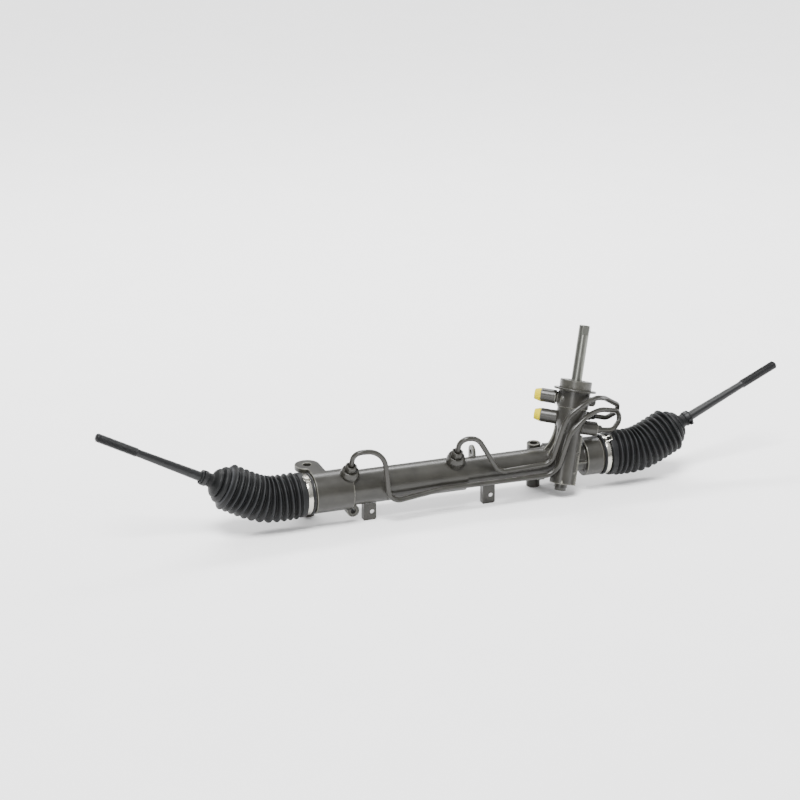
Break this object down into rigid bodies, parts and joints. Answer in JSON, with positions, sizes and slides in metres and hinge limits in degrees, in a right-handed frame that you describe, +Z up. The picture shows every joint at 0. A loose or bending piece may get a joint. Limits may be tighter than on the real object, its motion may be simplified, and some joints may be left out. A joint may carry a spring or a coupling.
{
  "type": "steering rack",
  "caption": "Power steering rack with a leaning pinion and valve tower, bent fluid pipes, ribbed bellows and long inner tie rods with threaded ends.",
  "frame": {"origin": "on the ground under the middle of the rack, midway between the inner ball joints", "axes": "+X along the rack to the pinion end, +Y away from the side with the pipes, +Z up"},
  "size_m": [1.1372, 0.1025, 0.2634],
  "materials": {
    "cast_housing": "satin cast aluminium under thin grey paint",
    "tube_paint": "satin grey painted steel",
    "bright_steel": "ground bright steel",
    "dark_steel": "black phosphated steel",
    "rubber": "matt black rubber",
    "band_steel": "polished stainless band",
    "yellow_plastic": "soft yellow polyethylene",
    "seal_rubber": "black nitrile",
    "nylon": "natural nylon"
  },
  "bodies": {
    "housing": {"bottom_cap": "tube_paint", "cylinder_tube": "tube_paint", "inner_rack_seal": "seal_rubber", "left_band_clamp": "band_steel", "left_bellows": "rubber", "left_bracket": "tube_paint", "left_end_housing": "cast_housing", "left_pipe_nut": "tube_paint", "left_port_boss": "tube_paint", "left_rack_seal": "seal_rubber", "left_transfer_pipe": "tube_paint", "lower_bearing_rollers": "bright_steel", "lower_outer_race": "bright_steel", "pinion_housing": "cast_housing", "pinion_seal": "seal_rubber", "pipe_ring": "seal_rubber", "rack_bush": "nylon", "rack_yoke": "bright_steel", "return_port_nut": "tube_paint", "right_band_clamp": "band_steel", "right_bellows": "rubber", "right_bracket": "tube_paint", "right_pipe_nut": "tube_paint", "right_port_boss": "tube_paint", "right_transfer_pipe": "tube_paint", "seal_flange": "tube_paint", "shaft_seal": "seal_rubber", "side_port_nut": "tube_paint", "spool_bearing": "bright_steel", "top_cap": "cast_housing", "upper_bearing_needles": "bright_steel", "upper_bearing_shell": "bright_steel", "valve_housing": "cast_housing", "yoke_lock_nut": "tube_paint", "yoke_plug": "tube_paint", "yoke_springs": "bright_steel"},
    "rack": {"rack_bar": "bright_steel", "piston": "bright_steel", "piston_ring": "seal_rubber", "left_lock_washer": "bright_steel", "right_lock_washer": "bright_steel", "left_ball_housing": "bright_steel", "right_ball_housing": "bright_steel"},
    "pinion": {"pinion_gear": "bright_steel", "pinion_nut": "bright_steel", "lower_inner_race": "bright_steel", "valve_sleeve": "bright_steel", "valve_rings": "seal_rubber"},
    "input": {"input_shaft": "bright_steel", "torsion_bar": "bright_steel", "torsion_pin": "bright_steel"},
    "left_seat": {"left_ball_seat": "nylon"},
    "right_seat": {"right_ball_seat": "nylon"},
    "left_rod": {"left_tie_rod": "dark_steel", "left_rod_clip": "dark_steel"},
    "right_rod": {"right_tie_rod": "dark_steel", "right_rod_clip": "dark_steel"},
    "low_plug": {"low_port_plug": "yellow_plastic"},
    "high_plug": {"high_port_plug": "yellow_plastic"}
  },
  "joints": [
    {"name": "rack_slide", "type": "slide", "parent": "housing", "child": "rack", "axis": [1, 0, 0], "range_m": [-0.06, 0.06], "deforming": ["left_bellows", "right_bellows"]},
    {"name": "pinion_turn", "type": "hinge", "parent": "housing", "child": "pinion", "pos_m": [0.18, -0.02504, 0.05617], "axis": [0.2317, 0.2172, 0.9482], "range_deg": [-456, 456]},
    {"name": "input_twist", "type": "hinge", "parent": "pinion", "child": "input", "pos_m": [0.21476, 0.00754, 0.19841], "axis": [0.2317, 0.2172, 0.9482], "range_deg": [-4, 4]},
    {"name": "left_rod_lift", "type": "hinge", "parent": "rack", "child": "left_seat", "pos_m": [-0.312, -0.009, 0.0525], "axis": [0, 1, 0], "range_deg": [-57.19, 2.81], "deforming": ["left_bellows"]},
    {"name": "left_rod_swing", "type": "hinge", "parent": "left_seat", "child": "left_rod", "pos_m": [-0.312, -0.009, 0.0525], "axis": [0.4569, 0, 0.8895], "range_deg": [-10.55, 19.45], "deforming": ["left_bellows"]},
    {"name": "right_rod_lift", "type": "hinge", "parent": "rack", "child": "right_seat", "pos_m": [0.312, -0.009, 0.0525], "axis": [0, 1, 0], "range_deg": [-8.9, 51.1], "deforming": ["right_bellows"]},
    {"name": "right_rod_swing", "type": "hinge", "parent": "right_seat", "child": "right_rod", "pos_m": [0.312, -0.009, 0.0525], "axis": [-0.3599, 0, 0.933], "range_deg": [-22.66, 7.34], "deforming": ["right_bellows"]},
    {"name": "low_plug_pull", "type": "slide", "parent": "housing", "child": "low_plug", "axis": [-0.8424, 0.5322, 0.084], "range_m": [0, 0.016]},
    {"name": "high_plug_pull", "type": "slide", "parent": "housing", "child": "high_plug", "axis": [-0.8424, 0.5322, 0.084], "range_m": [0, 0.016]}
  ],
  "couplings": [
    {"joint": "pinion_turn", "follows": "rack_slide", "rad_per_m": -132.35}
  ]
}
